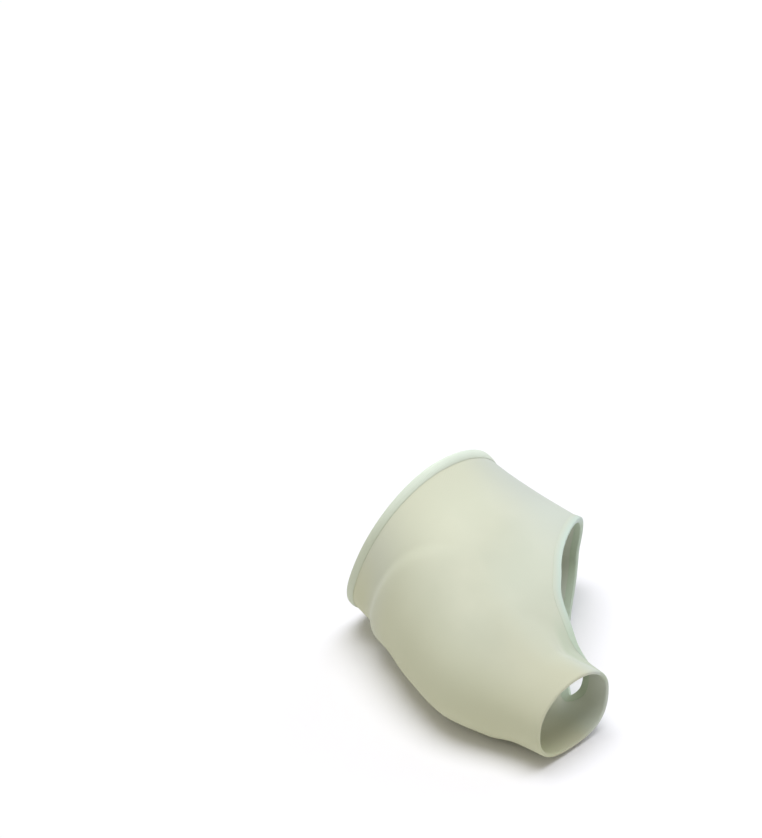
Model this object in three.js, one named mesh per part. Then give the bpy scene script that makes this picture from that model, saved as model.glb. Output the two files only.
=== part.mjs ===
import * as THREE from "three";

// Bunion sleeve for the left side, in millimetres: +Z up, toe ring towards -Y, toe window towards +X.
// The origin is the middle of the rear opening. Heights below are measured from the sole.

// Cloth tube
const CLOTH = 1.2;          // wall thickness
const LENGTH = 85.5;        // middle of the rear edge to the toe edge
const REAR_MIDDLE = 31.5;   // height of the middle of the rear opening
const SOLE_SOFTNESS = 0.5;  // how softly the underside turns into the flat sole

// Cross-sections from the rear edge to the toe edge. Each has a distance forward, a lean that tips its top
// forward, and the four points that its outline touches, as [x, height].
const SECTIONS = [
  { forward: 0, lean: 0.4, medial: [-34.5, 29], crown: [-9, 61], lateral: [30.5, 14.5], sole: [-2, 2] },
  { forward: 17.5, lean: 0.19, medial: [-39.5, 23], crown: [-15, 51.7], lateral: [38, 14], sole: [-8, 0] },
  { forward: 36, lean: 0.12, medial: [-48, 20], crown: [-20, 45.2], lateral: [42, 13], sole: [-14, 0] },
  { forward: 54.5, lean: 0.05, medial: [-53, 17], crown: [-25, 38], lateral: [45, 13], sole: [-21, 0] },
  { forward: 75, lean: 0.05, medial: [-48.5, 15], crown: [-31, 27], lateral: [-13, 14], sole: [-31, 0.5] },
  { forward: LENGTH, lean: 0, medial: [-47.5, 13], crown: [-31, 25.5], lateral: [-15, 13.5], sole: [-31, 1] },
];
// Superellipse power of each quarter of a section: 2 is round, more is squarer.
const SQUARENESS = { crownLateral: 2.12, crownMedial: 2.12, soleMedial: 2.42, soleLateral: 2.6 };

// Oval window on the lateral side
const WINDOW = {
  middle: 59,       // distance forward of its widest place
  halfAngle: 74.5,  // reach up and down round the tube, in degrees from the lateral side
  rear: 30,         // reach towards the rear edge
  rearBend: 1.18,   // form of its rear half: 1 is half an ellipse, more is leaner
  front: 16.7,      // reach towards the toe edge
};

// Gel pad inside the medial wall, a slanted oval in the tube's angle and distance forward
const PAD = {
  angle: 182.4,
  halfAngle: 96,
  forward: 46,
  halfLength: 33.9,
  slant: 6.8,         // how far its crown end is ahead of its middle
  bulge: 2.1,         // how far it lifts the cloth
  edge: 0.13,         // share of the oval over which the cloth climbs inside its line
  frontEdge: 0.15,    // the same, added towards the front
  past: 0.03,         // share of the oval over which it climbs outside the line
  fadeStart: -0.45,   // where the lift begins to die away: -1 is towards the sole, 1 towards the crown
  fadeEnd: 0.82,      // where it has gone
  frontFade: 0.55,    // how much the way to the front counts in the fade
  middle: 3,          // thickness in the middle
  rim: 0.8,           // thickness at its edge
  fullness: 3,        // power by which it keeps its thickness towards the edge
  inset: 0.85,        // its edge as a share of the raised oval
  depth: 1.8,         // its outer face under the outer face of the cloth
};

// Folded bindings
const GAP = 0.3;   // between a binding and the cloth
const REAR_BINDING = { width: 2.4, wall: 0.55, dome: 0.14 };
const WINDOW_BINDING = { width: 2.3, wall: 0.42, dome: 0.06 };
const REAR_SETBACK = GAP + REAR_BINDING.wall;   // cloth edge ahead of the binding's outer edge

// Mesh steps
const WINDOW_COLUMNS = 28;
const BACK_COLUMNS = 40;
const COLUMNS = WINDOW_COLUMNS + BACK_COLUMNS;
const REAR_ROWS = 17;
const TOE_ROWS = 7;
const PAD_RINGS = 7;
const PAD_SPOKES = 40;
const FOLD_STEPS = 5;
const SLOPE_TURN = 0.5;     // degrees and millimetres to each side of a place where slopes are taken
const SLOPE_SLIDE = 0.35;

const { degToRad, lerp, smoothstep, clamp } = THREE.MathUtils;

// Outline of one section at an angle: 0 lateral, 90 crown, 180 medial, 270 sole.
function sectionPoint(section, angle) {
  const across = Math.cos(degToRad(angle));
  const up = Math.sin(degToRad(angle));
  const side = across >= 0 ? section.lateral : section.medial;
  const cap = up >= 0 ? section.crown : section.sole;
  const power = SQUARENESS[(up >= 0 ? "crown" : "sole") + (across >= 0 ? "Lateral" : "Medial")];
  const x = cap[0] + (side[0] - cap[0]) * Math.abs(across) ** (2 / power);
  const z = side[1] + (cap[1] - side[1]) * Math.abs(up) ** (2 / power);
  const middle = (section.crown[1] + section.sole[1]) / 2;
  return new THREE.Vector3(x, -section.forward - section.lean * (z - middle), z);
}

// Slope between two chords that never overshoots: level at a peak, and their harmonic mean elsewhere.
const gentleSlope = (before, after) => (before * after > 0 ? (2 * before * after) / (before + after) : 0);

// Smooth loft through the sections: a cubic between neighbours, with gentle slopes at the sections and no
// bend at either end.
function loftPoint(angle, forward) {
  const points = SECTIONS.map((section) => sectionPoint(section, angle));
  const at = SECTIONS.map((section) => section.forward);
  const last = points.length - 1;
  const chord = (i) => points[i + 1].clone().sub(points[i]).divideScalar(at[i + 1] - at[i]);
  const slope = (i) => {
    if (i === 0) return chord(0).multiplyScalar(3).sub(slope(1)).divideScalar(2);
    if (i === last) return chord(last - 1).multiplyScalar(3).sub(slope(last - 1)).divideScalar(2);
    const [before, after] = [chord(i - 1).toArray(), chord(i).toArray()];
    return new THREE.Vector3(...before.map((rise, axis) => gentleSlope(rise, after[axis])));
  };
  const i = clamp(at.findLastIndex((distance) => distance <= forward), 0, last - 1);
  const step = at[i + 1] - at[i];
  const t = (forward - at[i]) / step;
  const rise = t * t * (3 - 2 * t);
  return points[i].clone().lerp(points[i + 1], rise)
    .addScaledVector(slope(i), step * t * (1 - t) ** 2)
    .addScaledVector(slope(i + 1), step * t * t * (t - 1));
}

// Steps of a surface along its two parameters, and its outward normal.
function surfaceSteps(surface, angle, forward) {
  const around = surface(angle + SLOPE_TURN, forward)
    .sub(surface(angle - SLOPE_TURN, forward))
    .divideScalar(2 * SLOPE_TURN);
  const along = surface(angle, forward + SLOPE_SLIDE)
    .sub(surface(angle, forward - SLOPE_SLIDE))
    .divideScalar(2 * SLOPE_SLIDE);
  return { around, along, normal: around.clone().cross(along).normalize() };
}

// Height of the raised area over the pad: a step round the edge of the oval, times a slow fade towards the
// crown and the front.
function padLift(angle, forward) {
  const towardsCrown = (PAD.angle - THREE.MathUtils.euclideanModulo(angle, 360)) / PAD.halfAngle;
  const towardsFront = (forward - PAD.forward - PAD.slant * towardsCrown) / PAD.halfLength;
  const edge = PAD.edge + PAD.frontEdge * smoothstep(towardsFront, 0, 1);
  const step = 1 - smoothstep(Math.hypot(towardsCrown, towardsFront), 1 - edge, 1 + PAD.past);
  const fade = smoothstep(towardsCrown + PAD.frontFade * towardsFront, PAD.fadeStart, PAD.fadeEnd);
  return PAD.bulge * step * (1 - fade);
}

// Outer face of the cloth: the loft raised over the pad and flattened along the sole.
function clothPoint(angle, forward) {
  const { normal } = surfaceSteps(loftPoint, angle, forward);
  const point = loftPoint(angle, forward).addScaledVector(normal, padLift(angle, forward));
  point.z = (point.z + Math.hypot(point.z, 2 * SOLE_SOFTNESS)) / 2;
  return point;
}

// Point at a depth under the outer face, or above it where the depth is negative.
function depthPoint(angle, forward, depth) {
  const { normal } = surfaceSteps(clothPoint, angle, forward);
  return clothPoint(angle, forward).addScaledVector(normal, -depth);
}

// Edge of the window at a turn round it: -90 and 90 are its ends up and down the tube.
function windowEdge(turn, towardsFront) {
  const reach = towardsFront ? WINDOW.front : -WINDOW.rear;
  const bend = towardsFront ? 1 : WINDOW.rearBend;
  const across = Math.sin(degToRad(turn));
  return {
    angle: WINDOW.halfAngle * Math.sign(across) * Math.abs(across) ** bend,
    forward: WINDOW.middle + reach * Math.cos(degToRad(turn)) ** bend,
  };
}

// Places on the cloth, in rows from an end of the tube to the level of the window. Columns that meet the
// window stop at its edge, and the others at its middle.
function ringPlaces(start, rows, towardsFront) {
  const places = [];
  for (let row = 0; row <= rows; row += 1) {
    const share = row / rows;
    places.push(Array.from({ length: COLUMNS }, (_, column) => {
      if (column > WINDOW_COLUMNS) {
        const round = (column - WINDOW_COLUMNS) / BACK_COLUMNS;
        const angle = lerp(WINDOW.halfAngle, 360 - WINDOW.halfAngle, round);
        return { angle, forward: lerp(start, WINDOW.middle, share) };
      }
      const across = column / WINDOW_COLUMNS;
      const edge = windowEdge(lerp(-90, 90, across), towardsFront);
      const even = lerp(-WINDOW.halfAngle, WINDOW.halfAngle, across);
      return { angle: lerp(even, edge.angle, share * share), forward: lerp(start, edge.forward, share) };
    }));
  }
  return places;
}

const rearPlaces = ringPlaces(REAR_SETBACK, REAR_ROWS, false);
const toePlaces = ringPlaces(LENGTH, TOE_ROWS, true);

// Closed mesh from a list of points and of outward-facing four-cornered faces.
function meshOf(name, points, faces, material) {
  const geometry = new THREE.BufferGeometry();
  geometry.setAttribute("position", new THREE.Float32BufferAttribute(points.flatMap((p) => p.toArray()), 3));
  geometry.setIndex(faces.flatMap(([a, b, c, d]) => (d === undefined ? [a, b, c] : [a, b, c, a, c, d])));
  geometry.computeVertexNormals();
  const mesh = new THREE.Mesh(geometry, new THREE.MeshStandardMaterial(material));
  mesh.name = name;
  return mesh;
}

// Cloth tube with walls: the same net of places at the outer face and at the depth of the cloth.
function sleeveBody() {
  const points = [];
  const faces = [];
  const addPoint = (place, depth) => points.push(depthPoint(place.angle, place.forward, depth)) - 1;
  const layers = [0, CLOTH].map((depth) => {
    const rear = rearPlaces.map((row) => row.map((place) => addPoint(place, depth)));
    const toe = toePlaces.map((row, index) => row.map((place, column) => {
      const shared = index === TOE_ROWS && (column === 0 || column >= WINDOW_COLUMNS);
      return shared ? rear[REAR_ROWS][column] : addPoint(place, depth);
    }));
    return { rear, toe };
  });
  const next = (column) => (column + 1) % COLUMNS;
  const strip = (one, other, columns, flip) => {
    for (let column = 0; column < columns; column += 1) {
      const face = [one[column], one[next(column)], other[next(column)], other[column]];
      faces.push(flip ? face.reverse() : face);
    }
  };
  layers.forEach(({ rear, toe }, layer) => {
    const inside = layer === 1;
    for (let row = 0; row < REAR_ROWS; row += 1) strip(rear[row], rear[row + 1], COLUMNS, inside);
    for (let row = 0; row < TOE_ROWS; row += 1) strip(toe[row + 1], toe[row], COLUMNS, inside);
  });
  const [outer, inner] = layers;
  strip(inner.rear[0], outer.rear[0], COLUMNS, false);
  strip(outer.toe[0], inner.toe[0], COLUMNS, false);
  strip(outer.rear[REAR_ROWS], inner.rear[REAR_ROWS], WINDOW_COLUMNS, false);
  strip(inner.toe[TOE_ROWS], outer.toe[TOE_ROWS], WINDOW_COLUMNS, false);
  return meshOf("sleeve_body", points, faces, { color: 0xd3d6bf, roughness: 0.85, metalness: 0 });
}

// Profile of a binding folded over the cloth edge, as [distance out past the edge, height over the cloth].
function foldProfile({ width, wall, dome }) {
  const reach = GAP + wall;
  const half = CLOTH / 2 + reach;
  const fold = Array.from({ length: FOLD_STEPS + 1 }, (_, step) => {
    const turn = lerp(90, -90, step / FOLD_STEPS);
    return [reach * Math.cos(degToRad(turn)), half * Math.sin(degToRad(turn)) - CLOTH / 2];
  });
  const over = [[-width, GAP], [-width, GAP + wall], [-width / 2, GAP + wall + dome]];
  const under = [[-width, -CLOTH - GAP - wall], [-width, -CLOTH - GAP]];
  const inside = [[GAP, -CLOTH - GAP], [GAP, GAP]];
  return [...over, ...fold, ...under, ...inside];
}

// Binding swept round a closed edge of the cloth. Its legs follow the cloth's own curve.
function binding(name, places, size, material) {
  const profile = foldProfile(size);
  const count = places.length;
  const points = [];
  const faces = [];
  places.forEach((place, index) => {
    const before = places[(index + count - 1) % count];
    const after = places[(index + 1) % count];
    const { around, along, normal } = surfaceSteps(clothPoint, place.angle, place.forward);
    const way = clothPoint(after.angle, after.forward).sub(clothPoint(before.angle, before.forward));
    const out = normal.clone().cross(way).normalize();
    // The way out along the cloth, as turns of angle and steps forward
    const mixed = around.dot(along);
    const scale = around.lengthSq() * along.lengthSq() - mixed * mixed;
    const turn = (out.dot(around) * along.lengthSq() - out.dot(along) * mixed) / scale;
    const slide = (out.dot(along) * around.lengthSq() - out.dot(around) * mixed) / scale;
    profile.forEach(([past, height]) => {
      const onCloth = Math.min(past, 0);
      const point = depthPoint(place.angle + turn * onCloth, place.forward + slide * onCloth, -height);
      points.push(point.addScaledVector(out, Math.max(past, 0)));
    });
  });
  for (let index = 0; index < count; index += 1) {
    const here = index * profile.length;
    const there = ((index + 1) % count) * profile.length;
    profile.forEach((_, corner) => {
      const beside = (corner + 1) % profile.length;
      faces.push([here + corner, there + corner, there + beside, here + beside]);
    });
  }
  return meshOf(name, points, faces, material);
}

// Closed edges of the cloth, each turning so that the way out of the cloth is on the same hand
const rearLoop = rearPlaces[0].toReversed();
const windowLoop = [
  ...rearPlaces[REAR_ROWS].slice(0, WINDOW_COLUMNS),
  ...toePlaces[TOE_ROWS].slice(1, WINDOW_COLUMNS + 1).reverse(),
];

// Pad bonded under the cloth: a thin lens that follows the wall.
function gelPad() {
  const points = [];
  const faces = [];
  const addRing = (share, depth) => Array.from({ length: PAD_SPOKES }, (_, spoke) => {
    const turn = degToRad((360 * spoke) / PAD_SPOKES);
    const towardsCrown = -PAD.inset * share * Math.cos(turn);
    const towardsFront = PAD.inset * share * Math.sin(turn);
    const angle = PAD.angle - PAD.halfAngle * towardsCrown;
    const forward = PAD.forward + PAD.slant * towardsCrown + PAD.halfLength * towardsFront;
    return points.push(depthPoint(angle, forward, depth)) - 1;
  });
  const strip = (one, other, flip) => one.forEach((_, spoke) => {
    const beside = (spoke + 1) % PAD_SPOKES;
    const face = [one[spoke], other[spoke], other[beside], one[beside]];
    faces.push(flip ? face.reverse() : face);
  });
  const rims = [false, true].map((inside) => {
    const depthAt = (share) => PAD.depth + (inside ? lerp(PAD.middle, PAD.rim, share ** PAD.fullness) : 0);
    const centre = points.push(depthPoint(PAD.angle, PAD.forward, depthAt(0))) - 1;
    let ring = addRing(1 / PAD_RINGS, depthAt(1 / PAD_RINGS));
    ring.forEach((corner, spoke) => {
      const face = [centre, corner, ring[(spoke + 1) % PAD_SPOKES]];
      faces.push(inside ? face.reverse() : face);
    });
    for (let step = 2; step <= PAD_RINGS; step += 1) {
      const wider = addRing(step / PAD_RINGS, depthAt(step / PAD_RINGS));
      strip(ring, wider, inside);
      ring = wider;
    }
    return ring;
  });
  strip(rims[0], rims[1], false);
  return meshOf("gel_pad", points, faces, { color: 0xe6e4d6, roughness: 0.4, metalness: 0 });
}

const sleeve = new THREE.Group();
sleeve.add(
  sleeveBody(),
  binding("rear_binding", rearLoop, REAR_BINDING, { color: 0xe1e8dc, roughness: 0.75, metalness: 0 }),
  binding("window_binding", windowLoop, WINDOW_BINDING, { color: 0xd2dcd2, roughness: 0.75, metalness: 0 }),
  gelPad(),
);
sleeve.position.z = -REAR_MIDDLE;

export default sleeve;
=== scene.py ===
import math

import bpy
import numpy as np
from mathutils import Matrix, Vector


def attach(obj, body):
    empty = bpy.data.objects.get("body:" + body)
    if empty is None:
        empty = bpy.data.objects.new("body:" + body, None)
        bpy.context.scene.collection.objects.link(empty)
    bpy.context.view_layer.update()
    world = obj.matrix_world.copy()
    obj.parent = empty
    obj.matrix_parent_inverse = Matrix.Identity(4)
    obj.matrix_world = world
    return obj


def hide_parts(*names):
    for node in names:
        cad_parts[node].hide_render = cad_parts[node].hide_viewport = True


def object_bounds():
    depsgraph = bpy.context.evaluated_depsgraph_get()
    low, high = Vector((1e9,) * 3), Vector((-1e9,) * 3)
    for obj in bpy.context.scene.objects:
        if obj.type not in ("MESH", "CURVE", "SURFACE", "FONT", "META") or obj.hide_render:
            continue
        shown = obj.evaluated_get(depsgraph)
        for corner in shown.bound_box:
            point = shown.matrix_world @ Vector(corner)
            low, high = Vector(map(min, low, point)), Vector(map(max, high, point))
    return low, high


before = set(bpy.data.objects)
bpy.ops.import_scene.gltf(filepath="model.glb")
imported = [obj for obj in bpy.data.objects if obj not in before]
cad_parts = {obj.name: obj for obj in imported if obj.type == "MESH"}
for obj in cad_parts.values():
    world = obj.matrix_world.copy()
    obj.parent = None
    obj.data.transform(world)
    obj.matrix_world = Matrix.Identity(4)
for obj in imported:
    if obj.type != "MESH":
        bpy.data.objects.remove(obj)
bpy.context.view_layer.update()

scene = bpy.context.scene
mm = 0.001
print("frame loaded:", ", ".join(sorted(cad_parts)))


# Shader wires

class Wire:
    # a socket of one node tree; arithmetic on wires adds Math nodes
    def __init__(self, tree, socket=None):
        self.tree = tree
        self.socket = socket

    def node(self, kind, settings=None, inputs=None, output=0):
        made = self.tree.nodes.new(kind)
        for name, value in (settings or {}).items():
            setattr(made, name, value)
        for name, value in (inputs or {}).items():
            if isinstance(value, Wire):
                self.tree.links.new(value.socket, made.inputs[name])
            else:
                made.inputs[name].default_value = value
        return Wire(self.tree, made.outputs[output] if len(made.outputs) else None)

    def math(self, operation, first, second=0.0):
        return self.node("ShaderNodeMath", {"operation": operation}, {0: first, 1: second})

    def __add__(self, other):
        return self.math("ADD", self, other)

    def __sub__(self, other):
        return self.math("SUBTRACT", self, other)

    def __rsub__(self, other):
        return self.math("SUBTRACT", other, self)

    def __mul__(self, other):
        return self.math("MULTIPLY", self, other)

    __radd__ = __add__
    __rmul__ = __mul__

    def sine(self):
        return self.math("SINE", self)

    def size(self):
        return self.math("ABSOLUTE", self)

    def fraction(self):
        return self.math("FRACT", self)

    def between(self, low, high):
        # a soft rise from 0 at the low end to 1 at the high end
        inputs = {"Value": self, "From Min": low, "From Max": high}
        return self.node("ShaderNodeMapRange", {"interpolation_type": "SMOOTHSTEP"}, inputs)

    def colourMix(self, first, second):
        # the first colour where the wire is 0, the second where it is 1; these sockets have only numbers
        return self.node("ShaderNodeMix", {"data_type": "RGBA"}, {0: self, 6: first, 7: second}, 2)


def newMaterial(name):
    material = bpy.data.materials.new(name)
    material.use_nodes = True
    tree = material.node_tree
    tree.nodes.clear()
    return material, Wire(tree)


def finishMaterial(wire, shader):
    wire.node("ShaderNodeOutputMaterial", None, {"Surface": shader})


def objectPlace(wire):
    # metres from the part's origin
    return wire.node("ShaderNodeTexCoord", None, None, "Object")


def objectNoise(wire, perMetre, detail=3.0):
    inputs = {"Vector": objectPlace(wire), "Scale": perMetre, "Detail": detail}
    return wire.node("ShaderNodeTexNoise", None, inputs)


cloudRange = (0.3, 0.7)   # values of the noise that become 0 and 1


def clouds(wire, perMetre, detail=3.0):
    # soft patches, from 0 to 1
    return objectNoise(wire, perMetre, detail).between(*cloudRange)


def objectHeight(wire):
    return wire.node("ShaderNodeSeparateXYZ", None, {"Vector": objectPlace(wire)}, "Z")


def objectDistance(wire):
    return wire.node("ShaderNodeVectorMath", {"operation": "LENGTH"}, {0: objectPlace(wire)}, "Value")


def bumpNormal(wire, height, strength, depth):
    # low relief, its depth in mm
    inputs = {"Strength": strength, "Distance": depth * mm, "Height": height}
    return wire.node("ShaderNodeBump", None, inputs)


def threadPlace(wire):
    # the piece's own map: mm round the tube and along it, or along a tape and across it
    uv = wire.node("ShaderNodeUVMap", {"uv_map": "threads"})
    split = wire.node("ShaderNodeSeparateXYZ", None, {"Vector": uv}).socket.node
    return Wire(wire.tree, split.outputs["X"]), Wire(wire.tree, split.outputs["Y"])


def rgba(red, green, blue):
    # screen colour from 0 to 255, made linear for the shader
    linear = [((c / 255 + 0.055) / 1.055) ** 2.4 for c in (red, green, blue)]
    return (*linear, 1.0)


# Meshes

class Net:
    # grids of points welded by shared numbers, with a thread map at every face corner
    def __init__(self):
        self.points = []
        self.count = 0
        self.faces = []
        self.corners = []
        self.caps = []

    def add(self, points):
        ids = np.arange(self.count, self.count + points[..., 0].size).reshape(points.shape[:-1])
        self.points.append(points.reshape(-1, 3))
        self.count += ids.size
        return ids

    def skin(self, ids, u, v, flip=False):
        # four-cornered faces between neighbours of a grid of point numbers
        def around(grid):
            rings = [grid[:-1, :-1], grid[:-1, 1:], grid[1:, 1:], grid[1:, :-1]]
            return np.stack(rings[::-1] if flip else rings, -1).reshape(-1, 4)
        self.faces.append(around(ids))
        self.corners.append(np.stack([around(u), around(v)], -1).reshape(-1, 2))

    def build(self, name):
        points = np.concatenate(self.points)
        faces = np.concatenate(self.faces)
        capCorners = sum(len(cap) for cap in self.caps)
        corners = np.concatenate([*self.corners, np.zeros((capCorners, 2))])
        used, numbers = np.unique(faces, return_inverse=True)
        caps = [np.searchsorted(used, cap).tolist() for cap in self.caps]
        mesh = bpy.data.meshes.new(name)
        mesh.from_pydata(points[used].tolist(), [], numbers.reshape(faces.shape).tolist() + caps)
        mesh.uv_layers.new(name="threads").data.foreach_set("uv", corners.astype(np.float32).ravel())
        mesh.shade_smooth()
        mesh.update()
        piece = bpy.data.objects.new(name, mesh)
        scene.collection.objects.link(piece)
        return piece


def closedRing(grid, turn=0):
    # the first column again after the last one
    return np.concatenate([grid, grid[:, :1] + turn], 1)


# Form of the worn cloth

sections = [  # outline of the tube from the rear edge to the toe edge: points are (x, height), in mm
    dict(forward=0, lean=0.4, medial=(-34.5, 29), crown=(-9, 61), lateral=(30.5, 14.5), sole=(-2, 2)),
    dict(forward=17.5, lean=0.19, medial=(-39.5, 23), crown=(-15, 51.7), lateral=(38, 14), sole=(-8, 0)),
    dict(forward=36, lean=0.12, medial=(-48, 20), crown=(-20, 45.2), lateral=(42, 13), sole=(-14, 0)),
    dict(forward=54.5, lean=0.05, medial=(-53, 17), crown=(-25, 38), lateral=(45, 13), sole=(-21, 0)),
    dict(forward=75, lean=0.05, medial=(-48.5, 15), crown=(-31, 27), lateral=(-13, 14), sole=(-31, 0.5)),
    dict(forward=85.5, lean=0, medial=(-47.5, 13), crown=(-31, 25.5), lateral=(-15, 13.5), sole=(-31, 1)),
]

cloth = dict(
    thickness=1.2,
    rearMiddle=31.5,         # height of the middle of the rear opening over the sole
    soleSoftness=0.5,        # how softly the underside turns into the flat sole
    squareness=dict(crownLateral=2.12, crownMedial=2.12, soleMedial=2.42, soleLateral=2.6),
    threadsPerDegree=0.53,   # mm of cloth for each degree round the tube
    slopeTurn=0.5,           # degrees and mm to each side of a place where slopes are taken
    slopeSlide=0.35,
    windowColumns=96, backColumns=144,
    rearRows=88, toeRows=40,
    rimRows=6,               # faces round the toe edge's lip
    rimThreads=2,            # mm of the thread map round it
)

window = dict(
    middle=59, halfAngle=74.5, rear=30, front=16.7,
    rearBend=1.18,           # form of its rear half: 1 is half an ellipse, more is leaner
)

pad = dict(
    angle=182.4, halfAngle=96, forward=46, halfLength=33.9,
    slant=6.8,               # how far its crown end is ahead of its middle
    bulge=2.1,               # how far it lifts the cloth
    edge=0.1, past=0.06,     # shares of the oval over which the cloth climbs, inside and outside its line
    frontEdge=0.15,          # added to the edge towards the front
    bead=0.28, beadAt=0.94,  # soft bead along the edge: mm, and share of the oval
    beadOutside=0.06, beadInside=0.22,   # shares of the oval over which it sinks to both sides
    beadStart=-0.4, beadEnd=0.4,     # where the bead dies away: -1 is towards the rear, 1 the front
    fadeStart=-0.45, fadeEnd=0.82,   # where the lift dies away: -1 is towards the sole, 1 the crown
    frontFade=0.55,          # how much the way to the front counts in the fade
    middle=3.6, rim=1.2,     # its own thickness
    fullness=3,              # power by which it keeps its thickness towards the edge
    inset=0.86,              # its edge as a share of the raised oval
    gap=0.08,                # between it and the cloth
    rings=44, spokes=160, rimSteps=8,
)

# soft dip in the cloth from the web beside the toe ring towards the crown
webFold = dict(
    angle=81, forward=66,            # a place on its line
    slant=0.62,                      # mm that the line goes back for each degree towards the crown
    halfWidth=3.0, height=-0.6,
    fadeStart=74, fadeEnd=98,        # degrees over which it dies away towards the crown
    frontStart=76, frontEnd=84,      # mm over which it dies away towards the toe edge
)

# a tape's legs are as thick as its wall at the fold, and as its tip at their ends; a dome swells them
rearBinding = dict(width=2.5, wall=0.6, tip=0.1, dome=0.22, gap=0.05, steps=320)
windowBinding = dict(width=2.3, wall=0.42, tip=0.05, dome=0.06, gap=0.03, steps=320)
bindingProfile = dict(tipSteps=6, legSteps=9, foldSteps=16)


def smooth(value, low, high):
    t = np.clip((value - low) / (high - low), 0, 1)
    return t * t * (3 - 2 * t)


def sectionPoints(section, angle):
    # each quarter is a superellipse between a side point and the crown or sole point
    across = np.cos(np.radians(angle))
    up = np.sin(np.radians(angle))
    lateral = across >= 0
    top = up >= 0
    square = cloth["squareness"]
    power = np.where(
        top,
        np.where(lateral, square["crownLateral"], square["crownMedial"]),
        np.where(lateral, square["soleLateral"], square["soleMedial"]),
    )
    side = np.where(lateral[..., None], section["lateral"], section["medial"])
    cap = np.where(top[..., None], section["crown"], section["sole"])
    x = cap[..., 0] + (side[..., 0] - cap[..., 0]) * np.abs(across) ** (2 / power)
    z = side[..., 1] + (cap[..., 1] - side[..., 1]) * np.abs(up) ** (2 / power)
    middle = (section["crown"][1] + section["sole"][1]) / 2
    return np.stack([x, -section["forward"] - section["lean"] * (z - middle), z], -1)


def loftPoints(angle, forward):
    # cubic between neighbouring sections; a slope is the harmonic mean of the chords, or level at a peak,
    # and neither end of the tube has a bend
    at = np.array([section["forward"] for section in sections], float)
    knots = np.stack([sectionPoints(section, angle) for section in sections])
    steps = np.diff(at).reshape(-1, *[1] * knots[0].ndim)
    chords = np.diff(knots, axis=0) / steps
    before, after = chords[:-1], chords[1:]
    same = before * after > 0
    inner = np.where(same, 2 * before * after / np.where(same, before + after, 1), 0)
    first = (3 * chords[:1] - inner[:1]) / 2
    last = (3 * chords[-1:] - inner[-1:]) / 2
    slopes = np.concatenate([first, inner, last])
    here = np.clip(np.searchsorted(at, forward, side="right") - 1, 0, len(at) - 2)

    def pick(rows, index):
        return np.take_along_axis(rows, index[None, ..., None], 0)[0]

    step = (at[here + 1] - at[here])[..., None]
    t = (forward - at[here])[..., None] / step
    rise = t * t * (3 - 2 * t)
    blend = pick(knots, here) * (1 - rise) + pick(knots, here + 1) * rise
    return blend + step * t * (1 - t) * (pick(slopes, here) * (1 - t) - pick(slopes, here + 1) * t)


def surfaceSteps(surface, angle, forward):
    # slopes of a surface along its two parameters, and its outward normal
    turn, slide = cloth["slopeTurn"], cloth["slopeSlide"]
    around = (surface(angle + turn, forward) - surface(angle - turn, forward)) / (2 * turn)
    along = (surface(angle, forward + slide) - surface(angle, forward - slide)) / (2 * slide)
    normal = np.cross(around, along)
    return around, along, normal / np.linalg.norm(normal, axis=-1, keepdims=True)


def padLift(angle, forward):
    # a step and a bell-shaped bead round the slanted oval's edge, times a fade to the crown and the front
    crown = (pad["angle"] - np.mod(angle, 360)) / pad["halfAngle"]
    front = (forward - pad["forward"] - pad["slant"] * crown) / pad["halfLength"]
    edge = pad["edge"] + pad["frontEdge"] * smooth(front, 0, 1)
    share = np.hypot(crown, front)
    step = 1 - smooth(share, 1 - edge, 1 + pad["past"])
    sink = np.where(share > pad["beadAt"], pad["beadOutside"], pad["beadInside"])
    bead = np.exp(-((share - pad["beadAt"]) / sink) ** 2)
    bead *= 1 - smooth(front, pad["beadStart"], pad["beadEnd"])
    fade = smooth(crown + pad["frontFade"] * front, pad["fadeStart"], pad["fadeEnd"])
    return (pad["bulge"] * step + pad["bead"] * bead) * (1 - fade)


def foldLift(angle, forward):
    # a bell-shaped dip along a slanting line, dying away towards the crown and the toe edge
    turn = np.mod(angle + 90, 360) - 90
    across = forward - webFold["forward"] + webFold["slant"] * (turn - webFold["angle"])
    fade = 1 - smooth(turn, webFold["fadeStart"], webFold["fadeEnd"])
    fade *= 1 - smooth(forward, webFold["frontStart"], webFold["frontEnd"])
    return webFold["height"] * fade * np.exp(-(across / webFold["halfWidth"]) ** 2)


def clothPoints(angle, forward):
    # the loft raised over the pad, lowered along the fold and flattened along the sole
    normal = surfaceSteps(loftPoints, angle, forward)[2]
    lift = padLift(angle, forward) + foldLift(angle, forward)
    points = loftPoints(angle, forward) + normal * lift[..., None]
    z = points[..., 2]
    points[..., 2] = (z + np.hypot(z, 2 * cloth["soleSoftness"])) / 2
    return points


def depthPoints(angle, forward, depth):
    # points under the outer face of the cloth, or above it where the depth is negative
    normal = surfaceSteps(clothPoints, angle, forward)[2]
    return clothPoints(angle, forward) - normal * np.asarray(depth)[..., None]


def placed(points):
    # from mm over the sole to metres in the shared frame
    return (points - np.array([0, 0, cloth["rearMiddle"]])) * mm


def windowEdge(turn):
    # each half of the window is bent from half an ellipse; the turn is 0 at its front end
    front = np.cos(turn) > 0
    bend = np.where(front, 1, window["rearBend"])
    reach = np.where(front, window["front"], -window["rear"])
    angle = window["halfAngle"] * np.sign(np.sin(turn)) * np.abs(np.sin(turn)) ** bend
    return angle, window["middle"] + reach * np.abs(np.cos(turn)) ** bend


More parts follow.
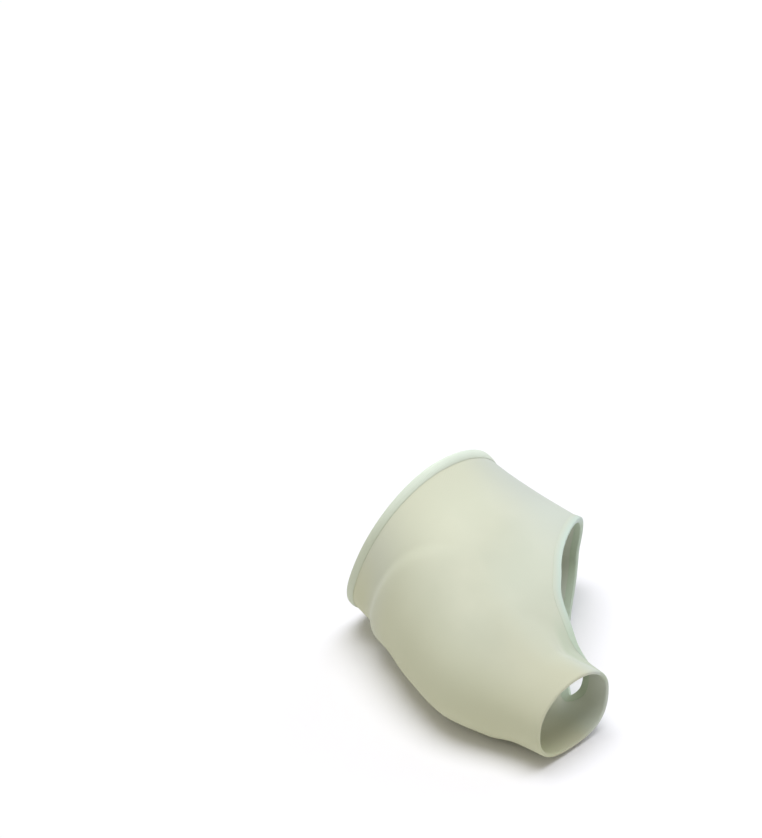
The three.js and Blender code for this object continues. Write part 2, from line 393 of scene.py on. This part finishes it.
def ringPlaces(start, rows, towardsFront):
    # rows from one end of the tube to the window: its columns stop at the oval's edge and crowd towards it,
    # and the others stop at the level of the oval's middle
    across = np.linspace(0, 1, cloth["windowColumns"] + 1)
    turn = np.radians(-90 + 180 * across)
    half = window["halfAngle"]
    back = np.linspace(half, 360 - half, cloth["backColumns"] + 1)[1:-1]
    rimAngle, rimForward = windowEdge(turn if towardsFront else math.pi - turn)
    edgeAngle = np.concatenate([rimAngle, back])
    evenAngle = np.concatenate([half * (2 * across - 1), back])
    edgeForward = np.concatenate([rimForward, back * 0 + window["middle"]])
    share = np.linspace(0, 1, rows + 1)[:, None]
    angle = evenAngle + (edgeAngle - evenAngle) * share**2
    return angle, start + (edgeForward - start) * share


# Sleeve cloth

def makeCloth():
    thick = cloth["thickness"]
    length = sections[-1]["forward"]
    rearStart = rearBinding["wall"]
    rearAngle, rearForward = ringPlaces(rearStart, cloth["rearRows"], False)
    toeAngle, toeForward = ringPlaces(length - thick / 2, cloth["toeRows"], True)
    toeAngle, toeForward = toeAngle[::-1], toeForward[::-1]
    columns = cloth["windowColumns"]
    shared = np.r_[0, columns:rearAngle.shape[1]]
    scale = cloth["threadsPerDegree"]
    net = Net()
    layers = []
    for depth in (0.0, thick):
        rear = net.add(placed(depthPoints(rearAngle, rearForward, depth + 0 * rearAngle)))
        toe = net.add(placed(depthPoints(toeAngle, toeForward, depth + 0 * toeAngle)))
        toe[0, shared] = rear[-1, shared]
        layers.append((rear, toe))
        for ids, angle, forward in ((rear, rearAngle, rearForward), (toe, toeAngle, toeForward)):
            net.skin(closedRing(ids), closedRing(angle, 360) * scale, closedRing(forward), depth > 0)
    (rearOuter, toeOuter), (rearInner, toeInner) = layers
    # round lip of the toe edge: half a circle, as wide as the cloth is thick
    lip = np.linspace(0, math.pi, cloth["rimRows"] + 1)[1:-1, None]
    lipAngle = toeAngle[-1:] + 0 * lip
    lipForward = length - thick / 2 + thick / 2 * np.sin(lip) + 0 * lipAngle
    lipDepth = thick / 2 * (1 - np.cos(lip)) + 0 * lipAngle
    lipIds = net.add(placed(depthPoints(lipAngle, lipForward, lipDepth)))
    lipRows = np.concatenate([toeOuter[-1:], lipIds, toeInner[-1:]])
    lipTurn = np.repeat(toeAngle[-1:], len(lipRows), 0)
    lipAlong = length + np.linspace(0, cloth["rimThreads"], len(lipRows))[:, None] + 0 * lipTurn
    net.skin(closedRing(lipRows), closedRing(lipTurn, 360) * scale, closedRing(lipAlong))
    # plain edges, which the bindings cover
    edge = np.stack([rearInner[0], rearOuter[0]])
    net.skin(closedRing(edge), closedRing(0.0 * edge), closedRing(0.0 * edge))
    for one, other in ((rearOuter[-1], rearInner[-1]), (toeInner[0], toeOuter[0])):
        edge = np.stack([one, other])[:, :columns + 1]
        net.skin(edge, 0.0 * edge, 0.0 * edge)
    return net.build("sleeveCloth")


sleeveCloth = makeCloth()
print("sleeve cloth:", len(sleeveCloth.data.polygons), "faces")


# Folded bindings

def foldProfile(size):
    # round the folded tape: tip, domed leg, fold, leg and tip, then back along the cloth
    width, wall, tip, gap = size["width"], size["wall"], size["tip"], size["gap"]
    thick = cloth["thickness"]
    steps = bindingProfile
    quarter = np.radians(np.linspace(180, 90, steps["tipSteps"] + 1))
    overTip = np.stack([-width + tip * (1 + np.cos(quarter)), gap + tip * np.sin(quarter)], -1)
    along = np.linspace(0, 1, steps["legSteps"] + 1)[1:-1]
    height = gap + tip + (wall - tip) * along + size["dome"] * np.sin(math.pi * along)
    leg = np.stack([-(width - tip) * (1 - along), height], -1)
    half = np.radians(np.linspace(90, -90, steps["foldSteps"] + 1))
    reach = gap + wall
    fold = np.stack([reach * np.cos(half), (thick / 2 + reach) * np.sin(half) - thick / 2], -1)
    underTip = overTip[::-1] * [1, -1] - [0, thick]
    back = np.array([[0, -thick - gap], [gap, -thick], [gap, 0], [0, gap]])
    return np.concatenate([overTip, leg, fold, underTip, back])


def closedRun(points):
    # distance along a closed line of points, up to the first one again
    steps = np.linalg.norm(np.roll(points, -1, 0) - points, axis=-1)
    return np.concatenate([[0], np.cumsum(steps)])


def makeBinding(name, size, angle, forward):
    # the tape's profile carried round a closed edge; its legs follow the cloth
    profile = foldProfile(size)
    around, along, normal = surfaceSteps(clothPoints, angle, forward)
    points = clothPoints(angle, forward)
    way = np.roll(points, -1, 0) - np.roll(points, 1, 0)
    out = np.cross(normal, way)
    out /= np.linalg.norm(out, axis=-1, keepdims=True)

    def dot(one, other):
        return np.sum(one * other, -1)

    # the way out along the cloth, as turns of angle and steps forward
    mixed = dot(around, along)
    scale = dot(around, around) * dot(along, along) - mixed**2
    turn = (dot(out, around) * dot(along, along) - dot(out, along) * mixed) / scale
    slide = (dot(out, along) * dot(around, around) - dot(out, around) * mixed) / scale
    past = profile[None, :, 0]
    onCloth = np.minimum(past, 0)
    heights = profile[None, :, 1] + 0 * angle[:, None]
    onAngle = angle[:, None] + turn[:, None] * onCloth
    onForward = forward[:, None] + slide[:, None] * onCloth
    swept = depthPoints(onAngle, onForward, -heights)
    swept += out[:, None] * np.maximum(past, 0)[..., None]
    run, girth = closedRun(points), closedRun(profile)
    net = Net()
    ids = net.add(placed(swept))
    ids = closedRing(np.concatenate([ids, ids[:1]]))
    net.skin(ids, run[:, None] + 0 * girth, girth[None] + 0 * run[:, None], True)
    return net.build(name)


rearTurn = np.linspace(360, 0, rearBinding["steps"], endpoint=False)
rearTape = makeBinding("rearTape", rearBinding, rearTurn, 0 * rearTurn + rearBinding["wall"])

windowTurn = np.radians(np.linspace(0, 360, windowBinding["steps"], endpoint=False))
windowTape = makeBinding("windowTape", windowBinding, *windowEdge(-windowTurn))
print("bindings:", len(rearTape.data.polygons), len(windowTape.data.polygons), "faces")


# Gel pad

def makePad():
    # a lens: from its middle over the outer face, round the rim and back over the inner face
    share = np.linspace(0, 1, pad["rings"])[1:]
    thick = pad["rim"] + (pad["middle"] - pad["rim"]) * (1 - share ** pad["fullness"])
    outerDepth = cloth["thickness"] + pad["gap"]
    rim = np.linspace(0, math.pi, pad["rimSteps"] + 1)[1:-1]
    rimRadius = pad["rim"] / 2
    rimShare = 1 + rimRadius / pad["halfLength"] * np.sin(rim)
    rimDepth = outerDepth + rimRadius * (1 - np.cos(rim))
    shares = np.concatenate([share, rimShare, share[::-1]])[:, None]
    depths = np.concatenate([0 * share + outerDepth, rimDepth, (outerDepth + thick)[::-1]])[:, None]
    turn = np.linspace(0, 2 * math.pi, pad["spokes"], endpoint=False)[None]
    crown = -pad["inset"] * shares * np.cos(turn)
    front = pad["inset"] * shares * np.sin(turn)
    angle = pad["angle"] - pad["halfAngle"] * crown
    forward = pad["forward"] + pad["slant"] * crown + pad["halfLength"] * front
    net = Net()
    ids = closedRing(net.add(placed(depthPoints(angle, forward, depths + 0 * angle))))
    u = closedRing(angle) * cloth["threadsPerDegree"]
    net.skin(ids, u, closedRing(forward), True)
    net.caps = [ids[0, :-1], ids[-1, -2::-1]]   # the two small middles
    return net.build("gelPad")


gelPad = makePad()
print("gel pad:", len(gelPad.data.polygons), "faces")


# Finishes

clothFinish = dict(
    light=rgba(216, 217, 197),
    deep=rgba(204, 207, 187),
    tautAndLit=rgba(222, 224, 202),    # paler on the crown near the rear where the cloth is stretched, and a painted highlight where the light falls there
    slackAndShade=rgba(200, 199, 174),   # deeper where the cloth is relaxed in the toe ring, and painted warm shade there
    side=rgba(203, 208, 197),    # painted shade, darker and cooler on the lateral side, with the window
    rim=rgba(214, 221, 207),     # beside the window
    under=rgba(205, 206, 175),   # painted warm shade low on the medial side
    foldShade=rgba(196, 204, 184),     # painted shade on the window's side of the fold
    wale=0.424, course=0.34,     # mm across and along one stitch
    loopSlant=1.3,               # how steeply a loop's sides slope
    columnShare=0.6,             # of the relief, the rest is the loops'
    stitchShare=0.3,             # of the change from deep to light, as painted shade in the stitches' hollows; the rest is soft patches
    cloudsPerMetre=38.0,
    bump=0.3, depth=0.08,        # strength, and mm
    roughness=0.82, roughnessSpread=0.06,
    specular=0.25, sheen=0.12, sheenRoughness=0.45,
)

# where each tone begins and ends, in mm round the tube and along it, and how much of it is mixed in
clothTones = dict(
    tautLitMiddle=56, tautLitRound=(8, 36), tautLitAlong=(4, 40), tautLitShare=0.9,
    slackShadeAlong=(50, 82), slackShadeShare=0.7,
    sideShadeRound=(27, 44),
    rimReach=(1.1, 2.2), rimShare=0.35,   # squares of the window's own reach
    underRound=(62, 104), underAlong=(10, 24),
    tapeRound=(82, 102), tapeAlong=(6, 14),   # the same painted shade beside the rear tape
    soleRound=(125, 150),                 # where both end
    webFar=(-26, -14), webNear=(-4, -0.5), webAlong=(63, 70),   # the first two across the fold
)

tapeWeave = dict(
    rib=0.5,                     # mm for each rib
    ribShare=0.7,                # of the relief, the rest is across the ribs
    weaveShare=0.4,              # of the change from deep to light, as painted shade in the weave's hollows; the rest is soft patches
    cloudsPerMetre=60.0,
    bump=0.4,
    roughnessSpread=0.06,
    specular=0.3, sheen=0.12, sheenRoughness=0.4,
)

rearTapeFinish = dict(
    tapeWeave,
    name="paleElasticTape",
    light=rgba(236, 245, 230),
    deep=rgba(226, 235, 221),
    low=rgba(207, 213, 190),     # painted shade, darker towards the sole
    lowShadeStart=0.003, lowShadeEnd=0.031,   # metres over the part's origin
    tip=rgba(210, 217, 200),     # painted shade of the seam where it is sewn to the cloth, near the cloth's own colour
    tipReach=0.7,                # mm from its tip
    depth=0.08,                  # mm
    roughness=0.7,
)

windowTapeFinish = dict(
    tapeWeave,
    name="softElasticTape",
    light=rgba(207, 221, 210),
    deep=rgba(198, 213, 202),
    # painted shade, darker towards the sole
    low=rgba(195, 209, 190),
    lowShadeStart=-0.006, lowShadeEnd=0.002,
    tip=rgba(207, 213, 198),
    tipReach=2.4,
    depth=0.06,
    roughness=0.75,
)

gelFinish = dict(
    light=rgba(232, 228, 212),
    deep=rgba(222, 217, 196),
    cloudsPerMetre=90.0, cloudDetail=4.0,
    grainPerMetre=1400.0, grainDetail=2.0,
    bump=0.15, depth=0.1,        # strength, and mm
    roughness=0.38, roughnessSpread=0.1,
    specular=0.45,
    subsurface=0.25, subsurfaceScale=0.002, subsurfaceRadius=(1.0, 0.9, 0.7),
)


def stitchHeight(u, v, finish):
    # columns of loops, from 0 to 1: each column is rounded, and its loops slope to both sides of its middle
    column = u * (1 / finish["wale"])
    slant = (column.fraction() - 0.5).size() * finish["loopSlant"]
    rounded = (column * math.pi).sine().size()
    loops = ((v * (1 / finish["course"]) + slant) * (2 * math.pi)).sine() * 0.5 + 0.5
    return rounded * finish["columnShare"] + loops * (1 - finish["columnShare"])


def clothShader(wire, finish, colour, cloudy, height):
    # matt, with a little sheen
    return wire.node("ShaderNodeBsdfPrincipled", None, {
        "Base Color": colour,
        "Roughness": cloudy * finish["roughnessSpread"] + finish["roughness"],
        "Normal": bumpNormal(wire, height, finish["bump"], finish["depth"]),
        "Specular IOR Level": finish["specular"],
        "Sheen Weight": finish["sheen"],
        "Sheen Roughness": finish["sheenRoughness"],
    })


def clothColour(u, v, colour):
    # the tones are mixed in one after another; several are painted light and shade
    finish, tone = clothFinish, clothTones
    # paler stretched cloth and a painted highlight on the crown near the rear
    tautLitRound = (u - tone["tautLitMiddle"]).size().between(*tone["tautLitRound"])
    tautAndLit = (1 - v.between(*tone["tautLitAlong"])) * (1 - tautLitRound)
    colour = (tautAndLit * tone["tautLitShare"]).colourMix(colour, finish["tautAndLit"])
    # deeper relaxed cloth and painted warm shade towards the toe ring
    slackAndShade = v.between(*tone["slackShadeAlong"])
    colour = (slackAndShade * tone["slackShadeShare"]).colourMix(colour, finish["slackAndShade"])
    girth = 360 * cloth["threadsPerDegree"]
    aside = ((u * (1 / girth) + 0.5).fraction() - 0.5).size() * girth   # mm round from the lateral side
    # painted shade, darker and cooler round the lateral side
    colour = (1 - aside.between(*tone["sideShadeRound"])).colourMix(colour, finish["side"])
    along = (v - window["middle"]) * (1 / window["rear"])
    across = aside * (1 / (window["halfAngle"] * cloth["threadsPerDegree"]))
    nearWindow = 1 - (along * along + across * across).between(*tone["rimReach"])
    colour = (nearWindow * tone["rimShare"]).colourMix(colour, finish["rim"])
    # painted warm shade low on the medial side, and beside the rear tape
    beforeSole = 1 - u.between(*tone["soleRound"])
    under = u.between(*tone["underRound"]) * v.between(*tone["underAlong"]) * beforeSole
    colour = under.colourMix(colour, finish["under"])
    besideTape = u.between(*tone["tapeRound"]) * (1 - v.between(*tone["tapeAlong"])) * beforeSole
    colour = besideTape.colourMix(colour, finish["under"])
    # painted shade on the window's side of the fold by the web
    turn = u * (1 / cloth["threadsPerDegree"]) - webFold["angle"]
    fold = v - webFold["forward"] + turn * webFold["slant"]
    beside = fold.between(*tone["webFar"]) * (1 - fold.between(*tone["webNear"]))
    foldShade = beside * v.between(*tone["webAlong"])
    return foldShade.colourMix(colour, finish["foldShade"])


def makeClothFinish():
    finish = clothFinish
    material, wire = newMaterial("sleeveStretchKnit")
    u, v = threadPlace(wire)
    stitch = stitchHeight(u, v, finish)
    cloudy = clouds(wire, finish["cloudsPerMetre"])
    # soft patches of tone, and painted shade in the hollows of the stitches
    toneAndHollowShade = cloudy * (1 - finish["stitchShare"]) + stitch * finish["stitchShare"]
    colour = clothColour(u, v, toneAndHollowShade.colourMix(finish["deep"], finish["light"]))
    finishMaterial(wire, clothShader(wire, finish, colour, cloudy, stitch))
    return material


def makeTapeFinish(finish):
    material, wire = newMaterial(finish["name"])
    u, v = threadPlace(wire)
    perRib = 2 * math.pi / finish["rib"]
    rib = (u * perRib).sine() * 0.5 + 0.5
    cross = (v * perRib).sine() * 0.5 + 0.5
    weave = rib * finish["ribShare"] + cross * (1 - finish["ribShare"])
    cloudy = clouds(wire, finish["cloudsPerMetre"])
    # soft patches of tone, and painted shade in the hollows of the weave
    toneAndHollowShade = cloudy * (1 - finish["weaveShare"]) + weave * finish["weaveShare"]
    colour = toneAndHollowShade.colourMix(finish["deep"], finish["light"])
    # towards its tip the tape takes the tip's tone: on the rear tape a painted shade of the seam, on the
    # window tape the cloth's colour
    colour = v.between(0, finish["tipReach"]).colourMix(finish["tip"], colour)
    # painted shade, darker towards the sole
    height = objectHeight(wire).between(finish["lowShadeStart"], finish["lowShadeEnd"])
    colour = height.colourMix(finish["low"], colour)
    finishMaterial(wire, clothShader(wire, finish, colour, cloudy, weave))
    return material


def makeGelFinish():
    finish = gelFinish
    material, wire = newMaterial("softGel")
    cloudy = clouds(wire, finish["cloudsPerMetre"], finish["cloudDetail"])
    grain = objectNoise(wire, finish["grainPerMetre"], finish["grainDetail"])
    shader = wire.node("ShaderNodeBsdfPrincipled", None, {
        "Base Color": cloudy.colourMix(finish["deep"], finish["light"]),
        "Roughness": cloudy * finish["roughnessSpread"] + finish["roughness"],
        "Normal": bumpNormal(wire, grain, finish["bump"], finish["depth"]),
        "Subsurface Weight": finish["subsurface"],
        "Subsurface Scale": finish["subsurfaceScale"],
        "Subsurface Radius": finish["subsurfaceRadius"],
        "Specular IOR Level": finish["specular"],
    })
    finishMaterial(wire, shader)
    return material


for piece, node, slot, material in (
    (sleeveCloth, "sleeve_body", "sleeve_cloth", makeClothFinish()),
    (rearTape, "rear_binding", "binding_cloth", makeTapeFinish(rearTapeFinish)),
    (windowTape, "window_binding", "binding_cloth", makeTapeFinish(windowTapeFinish)),
    (gelPad, "gel_pad", "gel", makeGelFinish()),
):
    piece.data.materials.append(material)
    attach(piece, "root")
    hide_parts(node)

# the cloth is cut flat and stretched round; the tapes are sewn to its edges
print("finishes set")


# Floor, light and camera

studio = dict(
    floorColour=rgba(252, 250, 254),
    floorReach=3, floorSteps=8,          # metres to each side, and faces in a row
    floorGap=0.02,                       # mm under the part
    floorRoughness=0.9, floorSpecular=0.1,
    grainPerMetre=260.0, grainDetail=2.0,
    grainBump=0.03, grainDepth=0.1,      # strength, and mm
    nearGlow=(0.0, 0.0, 0.0, 1.0),
    farGlow=rgba(112, 112, 112),         # so that the backdrop stays white
    glowStart=0.1, glowEnd=0.7,          # metres from the part's origin
    glowStrength=1.0,
    sky=0.36,
    skyColour=(1.0, 0.985, 0.9, 1.0),
    lampTarget=(-0.01, -0.03, -0.01),    # metres from the part's origin
    lampSize=1.1,
    lamps=[
        dict(name="softTop", power=12.8, colour=(0.98, 1.0, 1.02), place=(-0.01, -0.03, 1.24)),
        dict(name="coolSide", power=2.5, colour=(0.9, 1.0, 1.3), place=(1.11, -0.03, 0.55)),
    ],
)

view = dict(
    target=(-10, -31, -11.5),        # mm, the point that the camera circles
    azimuth=-49.1, elevation=32.5,   # degrees
    distance=796,                    # mm
    yaw=-2.35, pitch=3.95, roll=-0.4,  # degrees that it looks aside, up and leans
    focal=2562,                      # pixels
    imageHeight=838,                 # pixels
    filmHeight=36.0,                 # mm
)


def makeFloor():
    # a wide level sheet under the lowest point of the part
    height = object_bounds()[0][2] - studio["floorGap"] * mm
    spread = np.linspace(-studio["floorReach"], studio["floorReach"], studio["floorSteps"] + 1)
    x, y = np.meshgrid(spread, spread)
    net = Net()
    ids = net.add(np.stack([x, y, 0 * x + height], -1))
    net.skin(ids, x, y)
    floor = net.build("floor")
    material, wire = newMaterial("palePaper")
    grain = objectNoise(wire, studio["grainPerMetre"], studio["grainDetail"])
    far = objectDistance(wire).between(studio["glowStart"], studio["glowEnd"])
    shader = wire.node("ShaderNodeBsdfPrincipled", None, {
        "Base Color": studio["floorColour"],
        "Roughness": studio["floorRoughness"],
        "Normal": bumpNormal(wire, grain, studio["grainBump"], studio["grainDepth"]),
        "Specular IOR Level": studio["floorSpecular"],
        "Emission Color": far.colourMix(studio["nearGlow"], studio["farGlow"]),
        "Emission Strength": studio["glowStrength"],
    })
    finishMaterial(wire, shader)
    floor.data.materials.append(material)


def makeLight():
    world = bpy.data.worlds.new("studioSky")
    world.use_nodes = True
    sky = world.node_tree.nodes["Background"]
    sky.inputs["Color"].default_value = studio["skyColour"]
    sky.inputs["Strength"].default_value = studio["sky"]
    scene.world = world
    for each in studio["lamps"]:
        lamp = bpy.data.lights.new(each["name"], "AREA")
        lamp.shape = "DISK"
        lamp.size = studio["lampSize"]
        lamp.energy = each["power"]
        lamp.color = each["colour"]
        stand = bpy.data.objects.new(each["name"], lamp)
        stand.location = each["place"]
        away = Vector(studio["lampTarget"]) - Vector(each["place"])
        stand.rotation_euler = away.to_track_quat("-Z", "Y").to_euler()
        scene.collection.objects.link(stand)


def makeCamera():
    turn, lift = math.radians(view["azimuth"]), math.radians(view["elevation"])
    back = Vector((math.sin(turn) * math.cos(lift), -math.cos(turn) * math.cos(lift), math.sin(lift)))
    right = (-back).cross(Vector((0, 0, 1))).normalized()
    up = right.cross(-back)
    look = -back + right * math.tan(math.radians(view["yaw"])) + up * math.tan(math.radians(view["pitch"]))
    look.normalize()
    right = look.cross(Vector((0, 0, 1))).normalized()
    up = right.cross(look)
    axes = Matrix((right, up, -look)).transposed() @ Matrix.Rotation(math.radians(view["roll"]), 3, "Z")
    lens = bpy.data.cameras.new("photoView")
    lens.sensor_fit = "VERTICAL"
    lens.sensor_height = view["filmHeight"]
    lens.lens = view["focal"] / view["imageHeight"] * view["filmHeight"]
    camera = bpy.data.objects.new("photoView", lens)
    place = (Vector(view["target"]) + back * view["distance"]) * mm
    camera.matrix_world = Matrix.Translation(place) @ axes.to_4x4()
    scene.collection.objects.link(camera)
    scene.camera = camera


makeFloor()
makeLight()
makeCamera()
scene.view_settings.view_transform = "Standard"
print("studio ready")
